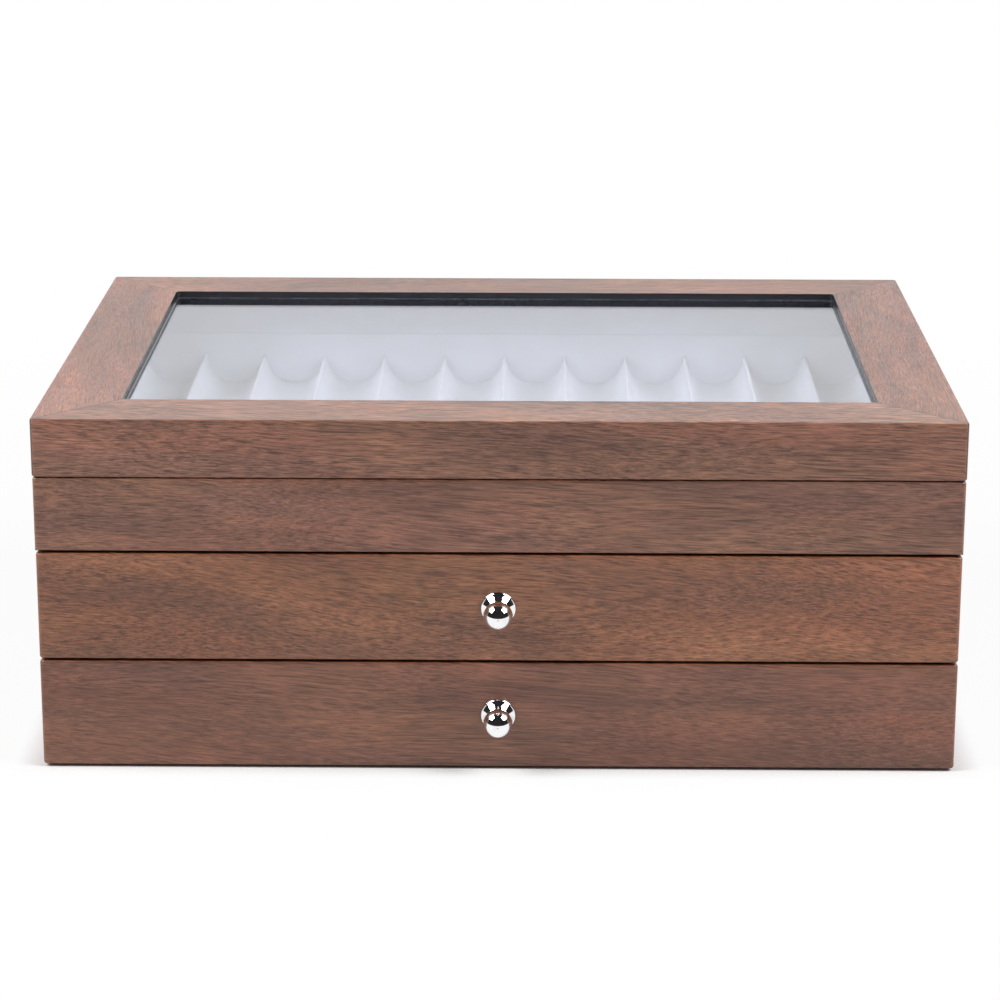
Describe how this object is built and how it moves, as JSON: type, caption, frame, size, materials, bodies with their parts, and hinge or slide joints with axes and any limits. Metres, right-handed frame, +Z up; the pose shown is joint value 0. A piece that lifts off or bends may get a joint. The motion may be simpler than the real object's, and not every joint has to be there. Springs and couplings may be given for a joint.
{
  "type": "pen collector chest",
  "caption": "Walnut pen display chest with a glazed, hinged lid over a slotted velvet tray, and slotted velvet-lined drawers with small round knobs below.",
  "frame": {"origin": "centre of the case's outline on the table, under the felt", "axes": "+Z up, +X to the right seen from the front, the drawers open towards -Y"},
  "size_m": [0.34, 0.2672, 0.134],
  "materials": {
    "walnut_veneer": "satin lacquer",
    "lacquered_board": "satin lacquer",
    "black_bead": "black lacquer",
    "glass": "polished, clear",
    "velvet": "short pile velvet",
    "felt": "pressed felt",
    "chrome": "polished",
    "hinge_metal": "nickel plated"
  },
  "bodies": {
    "case": {"base_felt": "felt", "base_panel": "lacquered_board", "case_back": "walnut_veneer", "case_front_rail": "walnut_veneer", "case_hinge_screws": "hinge_metal", "case_left_side": "walnut_veneer", "case_lining_front": "velvet", "case_lining_left": "velvet", "case_lining_rear": "velvet", "case_lining_right": "velvet", "case_right_side": "walnut_veneer", "compartment_deck": "lacquered_board", "drawer_divider": "lacquered_board", "left_hinge_case_leaf": "hinge_metal", "left_hinge_pin": "hinge_metal", "right_hinge_case_leaf": "hinge_metal", "right_hinge_pin": "hinge_metal", "top_tray": "velvet"},
    "lid": {"glass_beads": "black_bead", "left_hinge_lid_leaf": "hinge_metal", "lid_front_frame": "walnut_veneer", "lid_front_skirt": "walnut_veneer", "lid_glass": "glass", "lid_hinge_screws": "hinge_metal", "lid_left_frame": "walnut_veneer", "lid_left_skirt": "walnut_veneer", "lid_lining_front": "velvet", "lid_lining_left": "velvet", "lid_lining_rear": "velvet", "lid_lining_right": "velvet", "lid_rear_frame": "walnut_veneer", "lid_rear_skirt": "walnut_veneer", "lid_right_frame": "walnut_veneer", "lid_right_skirt": "walnut_veneer", "right_hinge_lid_leaf": "hinge_metal"},
    "lower_drawer": {"lower_drawer_back": "lacquered_board", "lower_drawer_bottom": "lacquered_board", "lower_drawer_front": "walnut_veneer", "lower_drawer_knob": "chrome", "lower_drawer_knob_screw": "hinge_metal", "lower_drawer_left_side": "lacquered_board", "lower_drawer_lining_front": "velvet", "lower_drawer_lining_left": "velvet", "lower_drawer_lining_rear": "velvet", "lower_drawer_lining_right": "velvet", "lower_drawer_right_side": "lacquered_board", "lower_drawer_tray": "velvet"},
    "upper_drawer": {"upper_drawer_back": "lacquered_board", "upper_drawer_bottom": "lacquered_board", "upper_drawer_front": "walnut_veneer", "upper_drawer_knob": "chrome", "upper_drawer_knob_screw": "hinge_metal", "upper_drawer_left_side": "lacquered_board", "upper_drawer_lining_front": "velvet", "upper_drawer_lining_left": "velvet", "upper_drawer_lining_rear": "velvet", "upper_drawer_lining_right": "velvet", "upper_drawer_right_side": "lacquered_board", "upper_drawer_tray": "velvet"}
  },
  "joints": [
    {"name": "lid_hinge", "type": "hinge", "parent": "case", "child": "lid", "pos_m": [0, 0.1258, 0.11205], "axis": [-1, 0, 0], "range_deg": [0, 95]},
    {"name": "lower_drawer_slide", "type": "slide", "parent": "case", "child": "lower_drawer", "axis": [0, -1, 0], "range_m": [0, 0.165]},
    {"name": "upper_drawer_slide", "type": "slide", "parent": "case", "child": "upper_drawer", "axis": [0, -1, 0], "range_m": [0, 0.165]}
  ]
}
